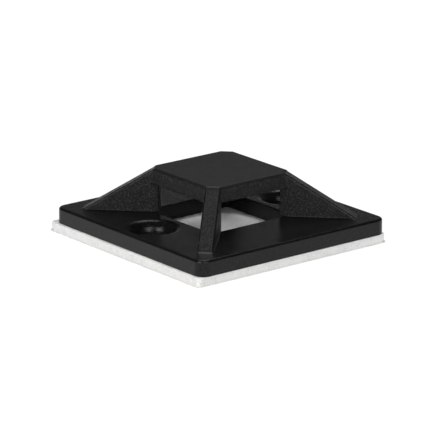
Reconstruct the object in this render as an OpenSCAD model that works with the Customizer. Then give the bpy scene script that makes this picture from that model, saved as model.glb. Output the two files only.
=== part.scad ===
// Four-way cable tie mount: a square plate with a raised platform on four
// corner webs, two countersunk screw holes, and an adhesive foam pad with its
// release liner. A tie passes under the platform in either direction.
// Millimetres. +Z is up, and the origin is the middle of the plate's plan at
// the liner's underside, where the mount meets the wall.

/* [Base plate] */
// Side of the square plate
base_side = 28; // [26:0.5:40]
// Thickness of the plate
base_thickness = 1.95; // [1.6:0.05:3]
// Radius of the plate's upright corners
base_corner_r = 1.3; // [0.5:0.1:2.5]

/* [Window] */
// Side of the square window through the plate, under the platform
window_side = 12.1; // [11:0.1:13.5]
// Radius of the window's upright corners
window_corner_r = 0.4; // [0.2:0.1:1]

/* [Platform] */
// How far the platform's top outline stands out past the window on each side
platform_overlap = 0.1; // [0:0.05:0.5]
// Thickness of the platform
platform_thickness = 1.85; // [1.4:0.05:2.6]
// Draft of the platform's sides, in degrees
platform_draft = 8; // [4:1:16]
// Radius along the platform's top edges
platform_edge_r = 0.4; // [0.2:0.05:0.6]
// Height of the tie openings between plate and platform
tie_gap = 3.5; // [2.5:0.1:5]

/* [Corner webs] */
// Thickness of each web
web_thickness = 1.85; // [1.4:0.05:2.4]
// How far each web's inner end stands over the window's sharp corner
web_overhang = 1.4; // [0.8:0.1:1.8]
// Distance along the diagonal from the plate's sharp corner to the web's foot
web_foot_inset = 3.5; // [2.5:0.1:5]
// How far the webs' crests start below the platform's top
crest_drop = 0.14; // [0.04:0.02:0.3]

/* [Screw holes] */
// Diameter of the two screw holes
screw_hole_d = 4.2; // [3:0.1:4.6]
// Diameter of the countersinks at the plate's top
countersink_d = 5.9; // [5:0.1:6.6]
// Depth of the countersinks
countersink_depth = 0.85; // [0.4:0.05:1.2]

/* [Adhesive pad] */
// How far the square foam pad stands out past the plate on each side
foam_margin = 0.2; // [0:0.05:1]
// Thickness of the foam pad
foam_thickness = 1; // [0.5:0.1:2]
// Radius of the pad's upright corners
foam_corner_r = 0.6; // [0.1:0.1:2]
// How far the hand-laid pad sits off centre along X
foam_shift_x = -0.35; // [-0.5:0.05:0.5]
// How far the hand-laid pad sits off centre along Y
foam_shift_y = -0.1; // [-0.5:0.05:0.5]
// Thickness of the release liner
liner_thickness = 0.1; // [0.06:0.02:0.3]
// How far the liner stands out past the foam on each side
liner_margin = 0.1; // [0:0.05:0.6]

/* [Hidden] */

// Smoothness of the rounds
$fn = 64;
// Overrun of a cutting tool past the face it opens
cut_over = 0.5;
// Depth to which the webs are rooted in the plate
web_root = 0.6;
// How far each web runs on under the plate's top past its foot
foot_tail = 0.25;
// How far the platform's cut corners lie inside the webs' side faces
corner_tuck = 0.1;

// Levels, from the liner's underside up
foam_z = liner_thickness;
base_z = foam_z + foam_thickness;
base_top_z = base_z + base_thickness;
platform_z = base_top_z + tie_gap;
platform_top_z = platform_z + platform_thickness;

// Plan sizes of the platform, to its sharp outlines
platform_side = window_side + 2 * platform_overlap;
platform_foot_side = platform_side + 2 * platform_thickness * tan(platform_draft);

// Places along a diagonal, measured from the middle of the plate
web_inner = window_side / sqrt(2) - web_overhang;
web_crest = (platform_side / sqrt(2)) - web_thickness / 2;
web_foot = base_side / sqrt(2) - web_foot_inset;
crest_z = platform_top_z - crest_drop;
crest_slope = (crest_z - base_top_z) / (web_foot - web_crest);

// The screw holes lie midway between the window and the plate's edge
screw_y = (base_side + window_side) / 4;

// Plan sizes of the adhesive pad
foam_side = base_side + 2 * foam_margin;
liner_side = foam_side + 2 * liner_margin;

// Colours
nylon_black = [0.13, 0.13, 0.125];
foam_white = [0.93, 0.93, 0.92];
liner_white = [0.97, 0.96, 0.93];

// A square with rounded corners, centred on the origin
module rounded_square(side, r) {
    core = side - 2 * r;
    square([side, core], center = true);
    square([core, side], center = true);
    for (x = [-core / 2, core / 2], y = [-core / 2, core / 2])
        translate([x, y])
            circle(r);
}

// The plate as a plain slab
module base_plate() {
    translate([0, 0, base_z])
        linear_extrude(base_thickness)
            rounded_square(base_side, base_corner_r);
}

// A bar along the Y axis with leaning sides and rounded top edges, given by its
// sharp half widths at the platform's top and foot
module platform_bar(top_half, foot_half) {
    lean = atan((foot_half - top_half) / platform_thickness);
    // Centre of the rounded edge, which touches both the top and the side
    round_x = top_half - platform_edge_r * tan(45 - lean / 2);
    round_z = platform_thickness - platform_edge_r;
    touch_x = round_x + platform_edge_r * cos(lean);
    touch_z = round_z + platform_edge_r * sin(lean);
    rotate([90, 0, 0])
        linear_extrude(2 * platform_foot_side, center = true)
            union() {
                polygon([
                    [-foot_half, 0],
                    [foot_half, 0],
                    [touch_x, touch_z],
                    [round_x, round_z],
                    [round_x, platform_thickness],
                    [-round_x, platform_thickness],
                    [-round_x, round_z],
                    [-touch_x, touch_z]
                ]);
                for (x = [-round_x, round_x])
                    translate([x, round_z])
                        circle(platform_edge_r);
            }
}

// The platform: drafted sides, rounded top edges, and corners cut off to just
// under the width of the webs that meet them
module platform() {
    top_half = platform_side / 2;
    foot_half = platform_foot_side / 2;
    corner_half_width = web_thickness / 2 - corner_tuck;
    translate([0, 0, platform_z])
        intersection() {
            intersection_for (turn = [0, 90])
                rotate(turn)
                    platform_bar(top_half, foot_half);
            intersection_for (turn = [45, 135])
                rotate(turn)
                    platform_bar(
                        top_half * sqrt(2) - corner_half_width,
                        foot_half * sqrt(2) - corner_half_width
                    );
        }
}

// One web, standing on the plate's diagonal. Its crest falls in a straight line
// from the platform's top to the plate, and its inner end is upright.
module corner_web() {
    rotate([90, 0, 0])
        linear_extrude(web_thickness, center = true)
            polygon([
                [web_inner, base_top_z - web_root],
                [web_foot + foot_tail, base_top_z - web_root],
                [web_foot + foot_tail, base_top_z - foot_tail * crest_slope],
                [web_crest, crest_z],
                [web_inner, crest_z]
            ]);
}

module corner_webs() {
    for (turn = [0:3])
        rotate(45 + 90 * turn)
            corner_web();
}

// What the window takes out of the plate and out of the webs' roots
module window_cut() {
    translate([0, 0, base_z - cut_over])
        linear_extrude(base_thickness + cut_over)
            rounded_square(window_side, window_corner_r);
}

// One screw hole with its countersink, centred on the Z axis
module screw_hole_cut() {
    translate([0, 0, base_z - cut_over])
        cylinder(h = base_thickness + 2 * cut_over, d = screw_hole_d);
    // The cone is carried on past the plate's top at its own slope
    flare = (countersink_d - screw_hole_d) * cut_over / countersink_depth;
    translate([0, 0, base_top_z - countersink_depth])
        cylinder(
            h = countersink_depth + cut_over,
            d1 = screw_hole_d,
            d2 = countersink_d + flare
        );
}

module mount_body() {
    color(nylon_black)
        difference() {
            union() {
                base_plate();
                corner_webs();
                platform();
            }
            window_cut();
            for (side = [-1, 1])
                translate([0, side * screw_y, 0])
                    screw_hole_cut();
        }
}

module foam_pad() {
    color(foam_white)
        translate([foam_shift_x, foam_shift_y, foam_z])
            linear_extrude(foam_thickness)
                rounded_square(foam_side, foam_corner_r);
}

module release_liner() {
    color(liner_white)
        translate([foam_shift_x, foam_shift_y, 0])
            linear_extrude(liner_thickness)
                rounded_square(liner_side, foam_corner_r);
}

mount_body();
foam_pad();
release_liner();
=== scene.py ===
"""Visual model of a four-way cable tie mount on its adhesive foam pad.

The moulding is drawn as one rounded solid: its plate, platform and corner webs
are joined with small fillets, every outer edge is softened as a mould leaves
it, and one quarter is repeated about the two screw-hole axes. The foam pad and
its release liner are cut sheets with a cut edge's own texture.
"""

import logging
import math
from dataclasses import dataclass, field
from enum import Enum

import bmesh
import bpy
import numpy as np
from mathutils import Matrix, Vector


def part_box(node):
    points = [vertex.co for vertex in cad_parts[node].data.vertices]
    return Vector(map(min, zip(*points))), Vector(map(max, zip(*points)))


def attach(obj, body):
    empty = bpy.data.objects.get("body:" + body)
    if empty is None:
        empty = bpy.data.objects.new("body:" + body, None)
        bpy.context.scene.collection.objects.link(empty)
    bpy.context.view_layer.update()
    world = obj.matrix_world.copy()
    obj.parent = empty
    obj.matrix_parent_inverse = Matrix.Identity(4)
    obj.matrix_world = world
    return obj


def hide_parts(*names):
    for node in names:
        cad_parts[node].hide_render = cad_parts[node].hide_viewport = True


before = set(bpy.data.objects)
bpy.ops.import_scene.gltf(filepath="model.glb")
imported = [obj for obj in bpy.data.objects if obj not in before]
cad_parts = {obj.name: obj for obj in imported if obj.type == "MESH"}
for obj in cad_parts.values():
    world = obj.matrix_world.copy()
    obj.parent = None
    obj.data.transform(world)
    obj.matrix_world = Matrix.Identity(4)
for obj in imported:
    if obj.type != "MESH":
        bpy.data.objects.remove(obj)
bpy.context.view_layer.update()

LOG = logging.getLogger("cable_tie_mount")
ROOT_BODY = "root"
MM = 0.001
HALF_ROOT = math.sqrt(0.5)
TINY = 1e-9

# Range of values that most of a noise texture's surface has.
NOISE_SPREAD = (0.3, 0.7)

Array = np.ndarray
Colour = tuple[float, float, float, float]
Socket = bpy.types.NodeSocket


class Slot(Enum):
    """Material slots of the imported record."""

    NYLON = "black_nylon"
    FOAM = "white_foam"
    LINER = "liner_paper"


class CadNode(Enum):
    """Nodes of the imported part."""

    BODY = "mount_body"
    FOAM = "foam_pad"
    LINER = "release_liner"


# --------------------------------------------------------------------------
# Distance fields: negative inside, positive outside, in millimetres
# --------------------------------------------------------------------------


def round_both(a: Array, b: Array, radius: float) -> Array:
    """Keep what two solids share, with the edge between them rounded.

    Args:
        a: Distances to the first solid.
        b: Distances to the second solid.
        radius: Radius of the convex edge.

    Returns:
        Distances to the shared solid.
    """
    corner = np.hypot(np.maximum(radius + a, 0), np.maximum(radius + b, 0))
    return np.minimum(-radius, np.maximum(a, b)) + corner


def fillet_join(a: Array, b: Array, radius: float) -> Array:
    """Join two solids with a fillet in the inner corner between them.

    Args:
        a: Distances to the first solid.
        b: Distances to the second solid.
        radius: Radius of the fillet.

    Returns:
        Distances to the joined solid.
    """
    corner = np.hypot(np.maximum(radius - a, 0), np.maximum(radius - b, 0))
    return np.maximum(radius, np.minimum(a, b)) - corner


def square_post(x: Array, y: Array, half: float, radius: float) -> Array:
    """Distances to an upright square post with rounded corners.

    Args:
        x: Positions along X, none negative.
        y: Positions along Y, none negative.
        half: Half the post's side.
        radius: Radius of the post's corners.

    Returns:
        Distances to the post's sides.
    """
    across, along = x - (half - radius), y - (half - radius)
    outside = np.hypot(np.maximum(across, 0), np.maximum(along, 0))
    return outside + np.minimum(np.maximum(across, along), 0) - radius


@dataclass(frozen=True)
class EdgeRadii:
    """Radii in millimetres that the mould leaves on edges and in corners."""

    plate_top: float = 0.3
    plate_bottom: float = 0.08
    web_crest: float = 0.2
    web_end: float = 0.12
    platform_corner: float = 0.05
    platform_top: float = 0.4
    platform_bottom: float = 0.12
    platform_fillet: float = 0.12
    web_fillet: float = 0.12
    window_rim: float = 0.12
    hole_rim: float = 0.3
    countersink_fillet: float = 0.4


@dataclass
class Moulding:
    """The black nylon moulding, in millimetres in the part's own frame."""

    half_side: float
    base_z: float
    top_z: float
    plate_thickness: float = 1.95
    plate_corner_r: float = 1.3
    window_half: float = 6.05
    window_corner_r: float = 0.4
    platform_half: float = 6.15
    platform_thickness: float = 1.85
    platform_draft: float = 8.0
    web_thickness: float = 1.85
    web_overhang: float = 1.4
    web_foot_inset: float = 3.5
    web_root: float = 0.6
    corner_tuck: float = 0.1
    crest_drop: float = 0.14
    hole_r: float = 2.1
    countersink_r: float = 2.95
    countersink_depth: float = 0.85
    hole_overrun: float = 0.5
    slope_step: float = 0.002
    radii: EdgeRadii = field(default_factory=EdgeRadii)

    @classmethod
    def from_frame(cls) -> "Moulding":
        """Take the plate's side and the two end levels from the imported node."""
        low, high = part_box(CadNode.BODY.value)
        return cls(half_side=high.x / MM, base_z=low.z / MM, top_z=high.z / MM)

    @property
    def plate_top_z(self) -> float:
        """Level of the plate's top."""
        return self.base_z + self.plate_thickness

    @property
    def tie_gap(self) -> float:
        """Height of the four tie openings."""
        return self.top_z - self.platform_thickness - self.plate_top_z

    @property
    def screw_y(self) -> float:
        """Distance of each screw hole from the middle."""
        return (self.half_side + self.window_half) / 2

    def plate(self, x: Array, y: Array, z: Array) -> Array:
        """Distances to the plate as a rounded slab.

        Args:
            x: Positions along X, none negative.
            y: Positions along Y, none negative.
            z: Levels.

        Returns:
            Distances to the plate, without its window and holes.
        """
        sides = square_post(x, y, self.half_side, self.plate_corner_r)
        slab = round_both(sides, z - self.plate_top_z, self.radii.plate_top)
        return round_both(slab, self.base_z - z, self.radii.plate_bottom)

    def web(self, u: Array, v: Array, z: Array) -> Array:
        """Distances to one corner web.

        Args:
            u: Positions along the diagonal, out from the middle.
            v: Positions across the diagonal, none negative.
            z: Levels.

        Returns:
            Distances to the web, from under the plate's top up.
        """
        half = self.web_thickness / 2
        crest_u = self.platform_half / HALF_ROOT - half
        foot_u = self.half_side / HALF_ROOT - self.web_foot_inset
        crest_z = self.top_z - self.crest_drop
        run, rise = foot_u - crest_u, crest_z - self.plate_top_z
        slope = (z - self.plate_top_z) * run + (u - foot_u) * rise
        crest = np.maximum(slope / math.hypot(run, rise), z - crest_z)
        bar = round_both(v - half, crest, self.radii.web_crest)
        inner_u = self.window_half / HALF_ROOT - self.web_overhang
        bar = round_both(bar, inner_u - u, self.radii.web_end)
        return np.maximum(bar, self.plate_top_z - self.web_root - z)

    def platform(self, x: Array, y: Array, u: Array, z: Array) -> Array:
        """Distances to the platform with its drafted sides and cut corners.

        Args:
            x: Positions along X, none negative.
            y: Positions along Y, none negative.
            u: Positions along the diagonal, out from the middle.
            z: Levels.

        Returns:
            Distances to the platform.
        """
        lean = math.tan(math.radians(self.platform_draft))
        spread = (self.top_z - z) * lean
        sides = (np.maximum(x, y) - self.platform_half - spread) / math.hypot(1, lean)
        corner_u = self.platform_half / HALF_ROOT - self.web_thickness / 2 + self.corner_tuck
        corner_lean = lean / HALF_ROOT
        corners = (u - corner_u - spread / HALF_ROOT) / math.hypot(1, corner_lean)
        block = round_both(sides, corners, self.radii.platform_corner)
        block = round_both(block, z - self.top_z, self.radii.platform_top)
        floor = self.plate_top_z + self.tie_gap - z
        return round_both(block, floor, self.radii.platform_bottom)

    def screw_hole(self, x: Array, y: Array, z: Array) -> Array:
        """Distances to the space of a countersunk screw hole.

        Args:
            x: Positions along X, none negative.
            y: Positions along Y, none negative.
            z: Levels.

        Returns:
            Distances to the space, negative where it is empty.
        """
        reach = np.hypot(x, y - self.screw_y) - self.hole_r
        flare = (self.countersink_r - self.hole_r) / self.countersink_depth
        cone_z = self.plate_top_z - self.countersink_depth
        cone = (reach - (z - cone_z) * flare) / math.hypot(1, flare)
        space = fillet_join(reach, cone, self.radii.countersink_fillet)
        return np.maximum(space, z - self.plate_top_z - self.hole_overrun)

    def distance(self, points: Array) -> Array:
        """Distances to the whole moulding.

        Args:
            points: Array whose last axis holds X, Y and Z.

        Returns:
            One distance for each point.
        """
        x, y, z = np.abs(points[..., 0]), np.abs(points[..., 1]), points[..., 2]
        u, v = (x + y) * HALF_ROOT, np.abs(x - y) * HALF_ROOT
        radii = self.radii
        body = fillet_join(
            self.platform(x, y, u, z), self.web(u, v, z), radii.platform_fillet
        )
        body = fillet_join(body, self.plate(x, y, z), radii.web_fillet)
        window = square_post(x, y, self.window_half, self.window_corner_r)
        window = np.maximum(window, z - self.plate_top_z)
        body = round_both(body, -window, radii.window_rim)
        return round_both(body, -self.screw_hole(x, y, z), radii.hole_rim)

    def normals(self, points: Array) -> Array:
        """Unit outward directions of the moulding's surface at given points.

        Args:
            points: One point in millimetres in each row.

        Returns:
            One direction in each row.
        """
        slopes = np.zeros_like(points)
        for axis in range(3):
            shift = np.zeros(3)
            shift[axis] = self.slope_step
            ahead, behind = self.distance(points + shift), self.distance(points - shift)
            slopes[:, axis] = (ahead - behind) / (2 * self.slope_step)
        length = np.linalg.norm(slopes, axis=1, keepdims=True)
        return slopes / np.maximum(length, TINY)


@dataclass
class SurfaceNet:
    """Skins one quarter of a mirrored solid with near-square faces."""

    solid: Moulding
    pitch: float = 0.08
    margin: float = 0.2
    level_share: float = 1 / 6
    settle_steps: int = 4

    def axes(self) -> list[Array]:
        """Grid levels; the first cell straddles each mirror plane."""
        side = int((self.solid.half_side + self.margin) / self.pitch) + 2
        rise = self.solid.top_z - self.solid.base_z + 2 * self.margin
        plan = (np.arange(side) - 0.5) * self.pitch
        start = self.solid.base_z - self.margin + self.pitch * self.level_share
        return [plan, plan, start + np.arange(int(rise / self.pitch) + 2) * self.pitch]

    def skin(self) -> tuple[Array, Array]:
        """Find the surface of the quarter.

        Returns:
            Vertices in millimetres, and faces of four vertices each.
        """
        axes = self.axes()
        grid = np.stack(np.meshgrid(*axes, indexing="ij"), -1)
        values = self.solid.distance(grid)
        inside = values < 0
        cells = np.array(values.shape) - 1
        sums, counts = np.zeros((*cells, 3)), np.zeros(cells, int)
        crossings = []
        for axis in range(3):
            low = tuple(slice(0, -1) if k == axis else slice(None) for k in range(3))
            high = tuple(slice(1, None) if k == axis else slice(None) for k in range(3))
            found = np.argwhere(inside[low] != inside[high])
            a, b = values[low][tuple(found.T)], values[high][tuple(found.T)]
            points = np.stack([axes[k][found[:, k]] for k in range(3)], 1)
            points[:, axis] += a / (a - b) * self.pitch
            ring = self.cells_round(found, axis)
            for cell in ring:
                fits = ((cell >= 0) & (cell < cells)).all(1)
                np.add.at(sums, tuple(cell[fits].T), points[fits])
                np.add.at(counts, tuple(cell[fits].T), 1)
            crossings.append((ring, inside[high][tuple(found.T)]))
        filled = np.argwhere(counts > 0)
        index = np.full(cells, -1)
        index[tuple(filled.T)] = np.arange(len(filled))
        vertices = sums[tuple(filled.T)] / counts[tuple(filled.T)][:, None]
        faces = [self.faces(ring, flip, index) for ring, flip in crossings]
        return self.settle(vertices, filled), np.concatenate(faces)

    @staticmethod
    def cells_round(edges: Array, axis: int) -> list[Array]:
        """The four cells round each grid edge, in turn.

        Args:
            edges: Grid indices of each edge, one in each row.
            axis: Axis along which the edges run.

        Returns:
            Four arrays of cell indices, in the order of a face.
        """
        across, up = (axis + 1) % 3, (axis + 2) % 3
        ring = []
        for side, rise in ((0, 0), (1, 0), (1, 1), (0, 1)):
            cell = edges.copy()
            cell[:, across] -= side
            cell[:, up] -= rise
            ring.append(cell)
        return ring

    @staticmethod
    def faces(ring: list[Array], flip: Array, index: Array) -> Array:
        """One face for each crossed edge whose four cells are all in the grid.

        Args:
            ring: Indices of the four cells round each edge.
            flip: Whether each face is turned over.
            index: Number of the vertex in each cell, or -1.

        Returns:
            Faces of four vertex numbers each.
        """
        whole = np.all([(c >= 0).all(1) & (c < index.shape).all(1) for c in ring], 0)
        quads = np.stack([index[tuple(c[whole].T)] for c in ring], 1)
        turned = flip[whole]
        quads[turned] = quads[turned][:, ::-1]
        return quads

    def settle(self, vertices: Array, cells: Array) -> Array:
        """Move vertices onto the surface, and seam vertices onto their plane.

        Args:
            vertices: Vertices in millimetres.
            cells: Grid indices of the cell of each vertex.

        Returns:
            The moved vertices.
        """
        for _ in range(self.settle_steps):
            gap = self.solid.distance(vertices)[:, None]
            vertices = vertices - self.solid.normals(vertices) * gap
            for axis in range(2):
                vertices[cells[:, axis] == 0, axis] = 0
        return vertices


# --------------------------------------------------------------------------
# Geometry Nodes
# --------------------------------------------------------------------------


class Tree:
    """Short hand for a node tree that is built in this script."""

    def __init__(self, tree: bpy.types.NodeTree) -> None:
        """Wrap an empty tree."""
        self.tree = tree

    def add(self, kind: str, settings: dict | None = None, **inputs: object) -> bpy.types.Node:
        """Add a node.

        Args:
            kind: Blender's name for the node's type.
            settings: Properties of the node.
            **inputs: Values or output sockets for inputs; underscores stand
                for spaces, and a name such as i0 stands for the input's place.

        Returns:
            The new node.
        """
        node = self.tree.nodes.new(kind)
        for name, value in (settings or {}).items():
            setattr(node, name, value)
        for name, value in inputs.items():
            if name[0] == "i" and name[1:].isdigit():
                socket = node.inputs[int(name[1:])]
            else:
                socket = node.inputs[name.replace("_", " ")]
            if isinstance(value, Socket):
                self.tree.links.new(value, socket)
            else:
                socket.default_value = value
        return node


class ModifierTree(Tree):
    """A Geometry Nodes tree with named inputs, applied to one mesh."""

    def __init__(self, name: str, inputs: dict[str, tuple[str, object]]) -> None:
        """Make the tree's sockets.

        Args:
            name: Name of the tree.
            inputs: Socket type and value for each named input.
        """
        super().__init__(bpy.data.node_groups.new(name, "GeometryNodeTree"))
        face = self.tree.interface
        face.new_socket("Geometry", in_out="INPUT", socket_type="NodeSocketGeometry")
        self.identifiers = {
            label: face.new_socket(label, in_out="INPUT", socket_type=kind).identifier
            for label, (kind, _) in inputs.items()
        }
        self.values = {label: value for label, (_, value) in inputs.items()}
        face.new_socket("Geometry", in_out="OUTPUT", socket_type="NodeSocketGeometry")
        self.source = self.add("NodeGroupInput")

    def joined(self, *geometry: Socket) -> Socket:
        """Join several geometries into one.

        Args:
            *geometry: Sockets of the geometries.

        Returns:
            Socket of the joined geometry.
        """
        join = self.add("GeometryNodeJoinGeometry")
        for socket in geometry:
            self.tree.links.new(socket, join.inputs[0])
        return join.outputs[0]

    def close(self, geometry: Socket) -> None:
        """Realise the geometry, set its finish and end the tree.

        Args:
            geometry: Socket of the geometry.
        """
        real = self.add("GeometryNodeRealizeInstances", i0=geometry)
        finish = self.source.outputs["Finish"]
        dressed = self.add("GeometryNodeSetMaterial", i0=real.outputs[0], Material=finish)
        self.add("NodeGroupOutput", i0=dressed.outputs[0])

    def bake(self, obj: bpy.types.Object) -> None:
        """Run the tree on an object and keep the result as its plain mesh.

        Args:
            obj: The object.
        """
        modifier = obj.modifiers.new("Build", "NODES")
        modifier.node_group = self.tree
        for label, value in self.values.items():
            modifier[self.identifiers[label]] = value
        graph = bpy.context.evaluated_depsgraph_get()
        graph.update()
        mesh = bpy.data.meshes.new_from_object(obj.evaluated_get(graph), depsgraph=graph)
        obj.modifiers.clear()
        old, obj.data = obj.data, mesh
        bpy.data.meshes.remove(old)


def quarters_tree(material: bpy.types.Material, weld: float) -> ModifierTree:
    """Repeat a quarter about the X and Y planes and weld its seams.

    Args:
        material: Finish of the result.
        weld: Distance in metres within which seam vertices are merged.

    Returns:
        The tree, ready to bake.
    """
    tree = ModifierTree(
        "Four Quarters",
        {
            "Weld Distance": ("NodeSocketFloat", weld),
            "Finish": ("NodeSocketMaterial", material),
        },
    )
    geometry = tree.source.outputs["Geometry"]
    for scale in ((-1, 1, 1), (1, -1, 1)):
        twin = tree.add("GeometryNodeTransform", Geometry=geometry, Scale=scale)
        twin = tree.add("GeometryNodeFlipFaces", i0=twin.outputs[0])
        geometry = tree.joined(geometry, twin.outputs[0])
    weld_distance = tree.source.outputs["Weld Distance"]
    whole = tree.add("GeometryNodeMergeByDistance", Geometry=geometry, Distance=weld_distance)
    smooth = tree.add("GeometryNodeSetShadeSmooth", Geometry=whole.outputs[0])
    tree.close(smooth.outputs[0])
    return tree


def cut_edge_tree(
    material: bpy.types.Material, cell: float, depth: float, wander: float, seed: float
) -> ModifierTree:
    """Roughen the upright sides of a cut sheet.

    Args:
        material: Finish of the result.
        cell: Size in metres of the cells that the cut opens.
        depth: Depth in metres of the cells.
        wander: How far in metres the cut strays from its line.
        seed: Seed of both patterns.

    Returns:
        The tree, ready to bake.
    """
    tree = ModifierTree(
        "Cut Edge",
        {
            "Cell Size": ("NodeSocketFloat", cell),
            "Depth": ("NodeSocketFloat", depth),
            "Wander": ("NodeSocketFloat", wander),
            "Wander Scale": ("NodeSocketFloat", 180.0),
            "Softness": ("NodeSocketFloat", 0.4),
            "Seed": ("NodeSocketFloat", seed),
            "Finish": ("NodeSocketMaterial", material),
        },
    )
    outputs = tree.source.outputs
    math_node = "ShaderNodeMath"
    place = tree.add("GeometryNodeInputPosition").outputs[0]
    fine = tree.add(math_node, {"operation": "DIVIDE"}, i0=1.0, i1=outputs["Cell Size"])
    cells = tree.add(
        "ShaderNodeTexVoronoi",
        {"voronoi_dimensions": "4D", "feature": "SMOOTH_F1"},
        Vector=place,
        W=outputs["Seed"],
        Scale=fine.outputs[0],
        Smoothness=outputs["Softness"],
    )
    bowl = tree.add(math_node, {"operation": "SUBTRACT"}, i0=cells.outputs["Distance"], i1=1.0)
    pits = tree.add(
        math_node, {"operation": "MULTIPLY"}, i0=bowl.outputs[0], i1=outputs["Depth"]
    )
    slow = tree.add(
        "ShaderNodeTexNoise",
        {"noise_dimensions": "4D"},
        Vector=place,
        W=outputs["Seed"],
        Scale=outputs["Wander Scale"],
        Detail=2.0,
    )
    away = tree.add(math_node, {"operation": "SUBTRACT"}, i0=slow.outputs[0], i1=1.0)
    stray = tree.add(
        math_node, {"operation": "MULTIPLY"}, i0=away.outputs[0], i1=outputs["Wander"]
    )
    total = tree.add(math_node, {"operation": "ADD"}, i0=pits.outputs[0], i1=stray.outputs[0])
    normal = tree.add("GeometryNodeInputNormal").outputs[0]
    flat = tree.add("ShaderNodeVectorMath", {"operation": "MULTIPLY"}, i0=normal, i1=(1, 1, 0))
    push = tree.add(
        "ShaderNodeVectorMath",
        {"operation": "SCALE"},
        i0=flat.outputs[0],
        Scale=total.outputs[0],
    )
    moved = tree.add(
        "GeometryNodeSetPosition", Geometry=outputs["Geometry"], Offset=push.outputs[0]
    )
    smooth = tree.add("GeometryNodeSetShadeSmooth", Geometry=moved.outputs[0])
    tree.close(smooth.outputs[0])
    return tree


# --------------------------------------------------------------------------
# Finishes
# --------------------------------------------------------------------------


class Shader(Tree):
    """A material's node tree that ends in one principled surface."""

    def __init__(self, name: str) -> None:
        """Make a material with an empty tree."""
        self.material = bpy.data.materials.new(name)
        self.material.use_nodes = True
        super().__init__(self.material.node_tree)
        self.tree.nodes.clear()
        self.place = self.add("ShaderNodeTexCoord").outputs["Object"]

    def noise(self, size: float, detail: float) -> Socket:
        """A soft random pattern.

        Args:
            size: Size in metres of the features.
            detail: How many finer layers are added.

        Returns:
            The pattern, from 0 to 1.
        """
        node = self.add(
            "ShaderNodeTexNoise", Vector=self.place, Scale=1 / size, Detail=detail
        )
        return node.outputs[0]

    def ramp(
        self, value: Socket, low: float, high: float, to_low: float, to_high: float
    ) -> Socket:
        """Map a value from one range to another, held at both ends.

        Args:
            value: The value.
            low: Start of the first range.
            high: End of the first range.
            to_low: What the start becomes.
            to_high: What the end becomes.

        Returns:
            The mapped value.
        """
        node = self.add(
            "ShaderNodeMapRange",
            Value=value,
            From_Min=low,
            From_Max=high,
            To_Min=to_low,
            To_Max=to_high,
        )
        return node.outputs[0]

    def mixed(self, share: Socket, first: object, second: object) -> Socket:
        """Mix two colours by a share of the second."""
        settings = {"data_type": "RGBA"}
        return self.add("ShaderNodeMix", settings, i0=share, i6=first, i7=second).outputs[2]

    def maths(self, operation: str, first: object, second: object = 0.0) -> Socket:
        """Combine two values."""
        node = self.add("ShaderNodeMath", {"operation": operation}, i0=first, i1=second)
        return node.outputs[0]

    def product(self, first: Socket, second: object) -> Socket:
        """Multiply two values."""
        return self.maths("MULTIPLY", first, second)

    def blend(self, share: Socket, first: object, second: object) -> Socket:
        """Mix two values by a share of the second."""
        return self.add("ShaderNodeMix", i0=share, i2=first, i3=second).outputs[0]

    def close(self, **surface: object) -> bpy.types.Material:
        """End the tree in a principled surface with these inputs."""
        shell = self.add("ShaderNodeBsdfPrincipled", **surface)
        self.add("ShaderNodeOutputMaterial", Surface=shell.outputs[0])
        return self.material


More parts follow.
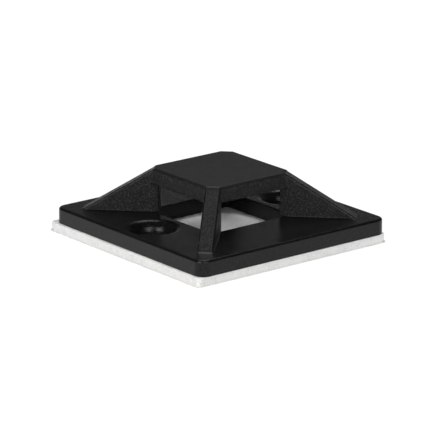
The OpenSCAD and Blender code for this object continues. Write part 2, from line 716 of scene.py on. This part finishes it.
@dataclass(frozen=True)
class BlackNylon:
    """Black moulded nylon: eroded grain above the plate, smoother on it.

    The mould is polished where the webs' crests meet their sides, and the
    platform's top is rougher, with painted light: a paler colour standing in
    for the light that its rough top catches.
    """

    deep: Colour = (0.0027, 0.0027, 0.0026, 1.0)
    speck: Colour = (0.036, 0.036, 0.034, 1.0)
    # Painted light: a paler colour on the platform's top, standing in for the light its rough
    # top catches.
    painted_top_light: Colour = (0.012, 0.012, 0.0105, 1.0)
    specular: float = 0.27
    ior: float = 1.45
    plate_roughness: float = 0.22
    grain_roughness: float = 0.38
    crest_roughness: float = 0.25
    top_roughness: float = 0.45
    roughness_drift: float = 0.04
    drift_size: float = 2.2 * MM
    grain_size: float = 0.15 * MM
    grain_depth: float = 0.1 * MM
    grain_fade: float = 0.15 * MM
    speck_spread: tuple[float, float] = (0.5, 0.66)
    plate_grain: float = 0.3
    # Where the platform's top starts: its roughness changes there, and its colour is painted
    # paler as light.
    crown_reach: float = 0.3 * MM
    crown_full: float = 0.05 * MM
    crest_band: float = 0.2 * MM
    crest_fade: float = 0.05 * MM
    side_from: float = 0.02 * MM
    side_full: float = 0.003 * MM

    def material(
        self, plate_top: float, crown: float, crest_half: float
    ) -> bpy.types.Material:
        """Make the finish.

        Args:
            plate_top: Level in metres above which the grain starts.
            crown: Level in metres of the platform's top.
            crest_half: Distance in metres of the webs' sides from a diagonal.

        Returns:
            The material.
        """
        shader = Shader("black_nylon_grained")
        x, y, z = shader.add("ShaderNodeSeparateXYZ", i0=shader.place).outputs[:3]
        above = shader.ramp(z, plate_top, plate_top + self.grain_fade, 0.0, 1.0)
        # Share that is 1 on the platform's top: rougher, and painted paler as light.
        crown_finish_and_light = shader.ramp(z, crown - self.crown_reach, crown - self.crown_full, 0.0, 1.0)
        crest = shader.product(self.crest(shader, x, y, crest_half), above)
        smooth = shader.maths("MAXIMUM", crest, crown_finish_and_light)
        grained = shader.product(above, shader.maths("SUBTRACT", 1.0, smooth))
        grain = shader.noise(self.grain_size, detail=3.0)
        strength = shader.ramp(grained, 0.0, 1.0, self.plate_grain, 1.0)
        bump = shader.add(
            "ShaderNodeBump", Height=grain, Strength=strength, Distance=self.grain_depth
        )
        specks = shader.ramp(grain, *self.speck_spread, 0.0, 1.0)
        colour = shader.mixed(shader.product(specks, strength), self.deep, self.speck)
        return shader.close(
            # Painted light: the platform's top gets the paler colour.
            Base_Color=shader.mixed(crown_finish_and_light, colour, self.painted_top_light),
            Roughness=self.roughness(shader, grained, crest, crown_finish_and_light),
            Specular_IOR_Level=self.specular,
            IOR=self.ior,
            Normal=bump.outputs[0],
        )

    def roughness(
        self, shader: Shader, grained: Socket, crest: Socket, crown_finish_and_light: Socket
    ) -> Socket:
        """Roughness of each area, with a slow drift over all of them.

        Args:
            shader: The shader being made.
            grained: Share that is 1 on the grained areas.
            crest: Share that is 1 on the polished edges of the webs.
            crown_finish_and_light: Share that is 1 on the platform's top, which is
            rougher and painted paler as light.

        Returns:
            The roughness.
        """
        value = shader.ramp(grained, 0.0, 1.0, self.plate_roughness, self.grain_roughness)
        value = shader.blend(crest, value, self.crest_roughness)
        value = shader.blend(crown_finish_and_light, value, self.top_roughness)
        cloud = shader.noise(self.drift_size, detail=4.0)
        drift = shader.ramp(cloud, *NOISE_SPREAD, -self.roughness_drift, self.roughness_drift)
        return shader.maths("ADD", value, drift)

    def crest(self, shader: Shader, x: Socket, y: Socket, crest_half: float) -> Socket:
        """Share that is 1 on the rounded edges between crests and sides.

        Args:
            shader: The shader being made.
            x: Position along X.
            y: Position along Y.
            crest_half: Distance in metres of the webs' sides from a diagonal.

        Returns:
            The share.
        """
        far_x, far_y = shader.maths("ABSOLUTE", x), shader.maths("ABSOLUTE", y)
        gap = shader.maths("ABSOLUTE", shader.maths("SUBTRACT", far_x, far_y))
        across = shader.product(gap, HALF_ROOT)
        inner = crest_half - self.crest_band
        start = shader.ramp(across, inner, inner + self.crest_fade, 0.0, 1.0)
        outer = crest_half - self.side_from
        end = shader.ramp(across, outer, crest_half - self.side_full, 1.0, 0.0)
        return shader.product(start, end)


@dataclass(frozen=True)
class WhiteFoam:
    """White closed-cell foam tape, matt, with open cells on its cut edge."""

    light: Colour = (0.95, 0.95, 0.935, 1.0)
    shade: Colour = (0.74, 0.74, 0.725, 1.0)
    cell: float = 0.16 * MM
    cell_softness: float = 0.5
    cell_depth: float = 0.03 * MM
    cell_strength: float = 0.5
    cell_shade: tuple[float, float] = (0.3, 0.8)
    cloud_size: float = 1.4 * MM
    cloud_shade: tuple[float, float] = (0.35, 0.7)
    least_shade: float = 0.2
    smoothest: float = 0.72
    roughest: float = 0.86

    def material(self) -> bpy.types.Material:
        """Make the finish."""
        shader = Shader("white_foam_cells")
        cells = shader.add(
            "ShaderNodeTexVoronoi",
            {"feature": "SMOOTH_F1"},
            Vector=shader.place,
            Scale=1 / self.cell,
            Smoothness=self.cell_softness,
        ).outputs["Distance"]
        cloud = shader.noise(self.cloud_size, detail=3.0)
        share = shader.product(
            shader.ramp(cells, *self.cell_shade, 0.0, 1.0),
            shader.ramp(cloud, *self.cloud_shade, self.least_shade, 1.0),
        )
        bump = shader.add(
            "ShaderNodeBump",
            Height=cells,
            Strength=self.cell_strength,
            Distance=self.cell_depth,
        )
        return shader.close(
            Base_Color=shader.mixed(share, self.light, self.shade),
            Roughness=shader.ramp(cloud, *NOISE_SPREAD, self.smoothest, self.roughest),
            Normal=bump.outputs[0],
        )


@dataclass(frozen=True)
class LinerPaper:
    """Off-white coated release paper."""

    light: Colour = (0.92, 0.915, 0.89, 1.0)
    shade: Colour = (0.84, 0.835, 0.8, 1.0)
    fibre_size: float = 0.3 * MM
    fibre_depth: float = 0.01 * MM
    fibre_strength: float = 0.25
    fibre_shade: tuple[float, float] = (0.35, 0.7)
    smoothest: float = 0.42
    roughest: float = 0.55

    def material(self) -> bpy.types.Material:
        """Make the finish."""
        shader = Shader("release_paper")
        fibres = shader.noise(self.fibre_size, detail=6.0)
        share = shader.ramp(fibres, *self.fibre_shade, 0.0, 1.0)
        bump = shader.add(
            "ShaderNodeBump",
            Height=fibres,
            Strength=self.fibre_strength,
            Distance=self.fibre_depth,
        )
        return shader.close(
            Base_Color=shader.mixed(share, self.light, self.shade),
            Roughness=shader.ramp(fibres, *NOISE_SPREAD, self.smoothest, self.roughest),
            Normal=bump.outputs[0],
        )


# --------------------------------------------------------------------------
# Pieces
# --------------------------------------------------------------------------


def new_object(name: str, vertices: Array, faces: list | Array) -> bpy.types.Object:
    """Make a mesh object at the origin from points in metres.

    Args:
        name: Name of the object.
        vertices: Points in metres.
        faces: Vertex numbers of each face.

    Returns:
        The object, in the scene.
    """
    mesh = bpy.data.meshes.new(name)
    mesh.from_pydata(np.asarray(vertices).tolist(), [], [list(map(int, f)) for f in faces])
    mesh.update()
    obj = bpy.data.objects.new(name, mesh)
    bpy.context.scene.collection.objects.link(obj)
    return obj


def report(obj: bpy.types.Object) -> None:
    """Log a finished piece's name and face count."""
    LOG.info("%s: %d faces", obj.name, len(obj.data.polygons))


@dataclass
class MountBody:
    """Makes and dresses the nylon moulding."""

    moulding: Moulding
    finish: BlackNylon = field(default_factory=BlackNylon)
    flat_angle: float = math.radians(0.1)
    merge_tile: float = 0.8 * MM
    weld_share: float = 1 / 8

    def build(self) -> None:
        """Skin one quarter, repeat it and give the whole its exact normals."""
        moulding = self.moulding
        net = SurfaceNet(moulding)
        vertices, faces = net.skin()
        obj = new_object("nylon_moulding", vertices * MM, faces)
        self.merge_flats(obj.data)
        material = self.finish.material(
            moulding.plate_top_z * MM, moulding.top_z * MM, moulding.web_thickness / 2 * MM
        )
        quarters_tree(material, net.pitch * MM * self.weld_share).bake(obj)
        points = np.zeros(len(obj.data.vertices) * 3)
        obj.data.vertices.foreach_get("co", points)
        normals = moulding.normals(points.reshape(-1, 3) / MM)
        obj.data.normals_split_custom_set_from_vertices(normals.tolist())
        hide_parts(CadNode.BODY.value)
        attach(obj, ROOT_BODY)
        report(obj)

    def merge_flats(self, mesh: bpy.types.Mesh) -> None:
        """Merge faces that lie in one plane, first inside small tiles for speed.

        Args:
            mesh: The mesh, changed in place.
        """
        places = np.zeros(len(mesh.polygons) * 3)
        mesh.polygons.foreach_get("center", places)
        tiles = np.floor(places.reshape(-1, 3) / self.merge_tile).astype(int)
        _, index = np.unique(tiles, axis=0, return_inverse=True)
        mesh.polygons.foreach_set("material_index", index.ravel().astype(np.int32))
        bm = bmesh.new()
        bm.from_mesh(mesh)
        for delimit in ({"MATERIAL"}, set()):
            bmesh.ops.dissolve_limit(
                bm,
                angle_limit=self.flat_angle,
                verts=bm.verts,
                edges=bm.edges,
                delimit=delimit,
            )
            for face in bm.faces:
                face.material_index = 0
        bm.to_mesh(mesh)
        bm.free()


@dataclass
class CutSheet:
    """A flat sheet cut to a square with small corners, in metres."""

    name: str
    low: Vector
    high: Vector
    corner_r: float
    edge_r: float
    step: float
    rows: int
    corner_turns: int = 5
    edge_turns: int = 3

    def outline(self, inset: float) -> list[tuple[float, float]]:
        """Points round the sheet, a fixed number whatever the inset.

        Args:
            inset: How far in metres the outline is drawn in.

        Returns:
            Plan positions in metres, anticlockwise.
        """
        middle = (self.low + self.high) / 2
        half = (self.high - self.low) / 2
        radius = self.corner_r - inset
        points = []
        corners = ((1, -1), (1, 1), (-1, 1), (-1, -1))
        for quarter, (sx, sy) in enumerate(corners):
            cx = middle.x + sx * (half.x - self.corner_r)
            cy = middle.y + sy * (half.y - self.corner_r)
            start = math.radians(90 * quarter - 90)
            for k in range(self.corner_turns + 1):
                angle = start + math.radians(90) * k / self.corner_turns
                points.append((cx + radius * math.cos(angle), cy + radius * math.sin(angle)))
            run = 2 * ((half.y if quarter % 2 == 0 else half.x) - self.corner_r)
            heading = start + math.pi
            x, y = points[-1]
            count = round(run / self.step)
            for k in range(1, count):
                along = run * k / count
                points.append((x + along * math.cos(heading), y + along * math.sin(heading)))
        return points

    def profile(self) -> list[tuple[float, float]]:
        """Inset and level of each ring of the side, from the bottom up."""
        steps = self.edge_turns
        turn = [(k / steps) * math.pi / 2 for k in range(steps + 1)]
        radius = self.edge_r
        lower = [(radius * (1 - math.sin(a)), radius * (1 - math.cos(a))) for a in turn]
        height = self.high.z - self.low.z
        span = height - 2 * radius
        middle = [(0.0, radius + span * k / self.rows) for k in range(1, self.rows)]
        upper = [(inset, height - rise) for inset, rise in reversed(lower)]
        return [(inset, self.low.z + rise) for inset, rise in lower + middle + upper]

    def build(self, tree: ModifierTree) -> bpy.types.Object:
        """Make the closed sheet and roughen its sides.

        Args:
            tree: The tree that shapes the cut edge.

        Returns:
            The finished object.
        """
        rings = [
            [(x, y, z) for x, y in self.outline(inset)] for inset, z in self.profile()
        ]
        size = len(rings[0])
        vertices = [point for ring in rings for point in ring]
        faces = [
            (
                row * size + k,
                row * size + (k + 1) % size,
                (row + 1) * size + (k + 1) % size,
                (row + 1) * size + k,
            )
            for row in range(len(rings) - 1)
            for k in range(size)
        ]
        faces.append(tuple(reversed(range(size))))
        faces.append(tuple(range(len(vertices) - size, len(vertices))))
        obj = new_object(self.name, vertices, faces)
        tree.bake(obj)
        return obj


@dataclass
class AdhesivePad:
    """Makes and dresses the foam pad and its release liner."""

    foam: WhiteFoam = field(default_factory=WhiteFoam)
    liner: LinerPaper = field(default_factory=LinerPaper)
    corner_r: float = 0.6 * MM

    def build_foam(self) -> None:
        """Cut the foam pad."""
        low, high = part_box(CadNode.FOAM.value)
        sheet = CutSheet(
            "foam_tape",
            low,
            high,
            corner_r=self.corner_r,
            edge_r=0.06 * MM,
            step=0.1 * MM,
            rows=9,
        )
        tree = cut_edge_tree(
            self.foam.material(), cell=0.22 * MM, depth=0.05 * MM, wander=0.06 * MM, seed=3.0
        )
        obj = sheet.build(tree)
        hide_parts(CadNode.FOAM.value)
        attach(obj, ROOT_BODY)
        report(obj)

    def build_liner(self) -> None:
        """Cut the liner."""
        low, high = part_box(CadNode.LINER.value)
        sheet = CutSheet(
            "liner_sheet",
            low,
            high,
            corner_r=self.corner_r,
            edge_r=0.02 * MM,
            step=0.25 * MM,
            rows=2,
        )
        tree = cut_edge_tree(
            self.liner.material(), cell=0.8 * MM, depth=0.01 * MM, wander=0.08 * MM, seed=8.0
        )
        obj = sheet.build(tree)
        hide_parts(CadNode.LINER.value)
        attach(obj, ROOT_BODY)
        report(obj)


# --------------------------------------------------------------------------
# Studio
# --------------------------------------------------------------------------


def direction(azimuth: float, elevation: float) -> Vector:
    """Unit vector to a place round the object.

    Args:
        azimuth: Degrees round from the -Y side towards +X.
        elevation: Degrees above the floor.

    Returns:
        The direction out from the object.
    """
    a, e = math.radians(azimuth), math.radians(elevation)
    return Vector((math.sin(a) * math.cos(e), -math.cos(a) * math.cos(e), math.sin(e)))


def grey(level: float) -> Colour:
    """An even grey."""
    return (level, level, level, 1.0)


@dataclass(frozen=True)
class SoftLamp:
    """A square soft box aimed at the object."""

    name: str
    azimuth: float
    elevation: float
    distance: float
    side: float
    power: float

    def build(self) -> None:
        """Hang the lamp."""
        light = bpy.data.lights.new(self.name, "AREA")
        light.size = self.side
        light.energy = self.power
        obj = bpy.data.objects.new(self.name, light)
        away = direction(self.azimuth, self.elevation)
        obj.location = away * self.distance
        obj.rotation_euler = away.to_track_quat("Z", "Y").to_euler()
        bpy.context.scene.collection.objects.link(obj)


@dataclass
class Studio:
    """Pale floor, soft lamps and the camera."""

    azimuth: float = 50.986
    elevation: float = 16.736
    roll: float = 0.275
    distance: float = 389.74 * MM
    aim_z: float = 4.1 * MM
    lens: float = 271.2
    shift: tuple[float, float] = (-0.00325, -0.03444)
    near: float = 0.01
    far: float = 20.0
    floor_side: float = 8.0
    floor_white: float = 0.8
    floor_shade: float = 0.15
    floor_glow: float = 0.94
    horizon: float = 0.12
    room: float = 0.08
    lamps: tuple[SoftLamp, ...] = (
        SoftLamp("key_box", 12.0, 23.0, 0.6, 0.3, 1.9),
        SoftLamp("fill_box", 77.0, 27.0, 0.6, 0.3, 1.6),
        SoftLamp("back_box", 228.0, 58.0, 0.6, 0.2, 0.9),
    )

    def build(self) -> None:
        """Set up everything that isn't part of the object."""
        self.build_floor()
        self.build_world()
        for lamp in self.lamps:
            lamp.build()
        self.build_camera()
        bpy.context.scene.view_settings.view_transform = "Standard"

    def seen_directly(self, tree: Tree) -> Socket:
        """Share that is 1 where the eye, a reflection or glass sees a surface.

        Args:
            tree: The material's tree.

        Returns:
            The share.
        """
        rays = tree.add("ShaderNodeLightPath").outputs
        share = rays["Is Camera Ray"]
        for other in ("Is Glossy Ray", "Is Transmission Ray"):
            share = tree.add(
                "ShaderNodeMath", {"operation": "MAXIMUM"}, i0=share, i1=rays[other]
            ).outputs[0]
        return share

    def build_floor(self) -> None:
        """Lay a pale floor that keeps the object's shadow."""
        half = self.floor_side / 2
        corners = [(-half, -half, 0), (half, -half, 0), (half, half, 0), (-half, half, 0)]
        floor = new_object("studio_floor", np.array(corners), [(0, 1, 2, 3)])
        material = bpy.data.materials.new("studio_floor_white")
        material.use_nodes = True
        tree = Tree(material.node_tree)
        tree.tree.nodes.clear()
        matt = tree.add("ShaderNodeBsdfDiffuse", Color=grey(self.floor_white))
        pale = tree.add("ShaderNodeBsdfDiffuse", Color=grey(self.floor_shade))
        glow = tree.add("ShaderNodeEmission", Strength=self.floor_glow)
        both = tree.add("ShaderNodeAddShader", i0=pale.outputs[0], i1=glow.outputs[0])
        mix = tree.add("ShaderNodeMixShader", i0=self.seen_directly(tree))
        tree.tree.links.new(matt.outputs[0], mix.inputs[1])
        tree.tree.links.new(both.outputs[0], mix.inputs[2])
        tree.add("ShaderNodeOutputMaterial", Surface=mix.outputs[0])
        floor.data.materials.append(material)

    def build_world(self) -> None:
        """Light the room softly, white where it is seen directly."""
        world = bpy.data.worlds.new("studio_world")
        bpy.context.scene.world = world
        world.use_nodes = True
        tree = Tree(world.node_tree)
        tree.tree.nodes.clear()
        heading = tree.add("ShaderNodeTexCoord").outputs["Generated"]
        height = tree.add("ShaderNodeSeparateXYZ", i0=heading).outputs[2]
        dim = tree.add(
            "ShaderNodeMapRange",
            {"interpolation_type": "SMOOTHSTEP"},
            Value=height,
            From_Min=0.0,
            From_Max=self.horizon,
            To_Min=1.0,
            To_Max=self.room,
        )
        room = tree.add("ShaderNodeBackground", Color=grey(1.0), Strength=dim.outputs[0])
        white = tree.add("ShaderNodeBackground", Color=grey(1.0), Strength=1.0)
        seen = tree.add("ShaderNodeLightPath").outputs["Is Camera Ray"]
        mix = tree.add("ShaderNodeMixShader", i0=seen)
        tree.tree.links.new(room.outputs[0], mix.inputs[1])
        tree.tree.links.new(white.outputs[0], mix.inputs[2])
        tree.add("ShaderNodeOutputWorld", Surface=mix.outputs[0])

    def build_camera(self) -> None:
        """Set the camera up."""
        data = bpy.data.cameras.new("studio_camera")
        data.lens = self.lens
        data.shift_x, data.shift_y = self.shift
        data.clip_start, data.clip_end = self.near, self.far
        camera = bpy.data.objects.new("studio_camera", data)
        bpy.context.scene.collection.objects.link(camera)
        away = direction(self.azimuth, self.elevation)
        a, turn = math.radians(self.azimuth), math.radians(self.roll)
        level = Vector((math.cos(a), math.sin(a), 0))
        upright = away.cross(level)
        right = level * math.cos(turn) + upright * math.sin(turn)
        up = upright * math.cos(turn) - level * math.sin(turn)
        basis = Matrix((right, up, away)).transposed().to_4x4()
        basis.translation = Vector((0, 0, self.aim_z)) + away * self.distance
        camera.matrix_world = basis
        bpy.context.scene.camera = camera


def main() -> None:
    """Build every piece, then the studio round it."""
    logging.basicConfig(level=logging.INFO, format="%(name)s: %(message)s")
    MountBody(Moulding.from_frame()).build()
    pad = AdhesivePad()
    pad.build_foam()
    pad.build_liner()
    Studio().build()


if __name__ == "__main__":
    main()
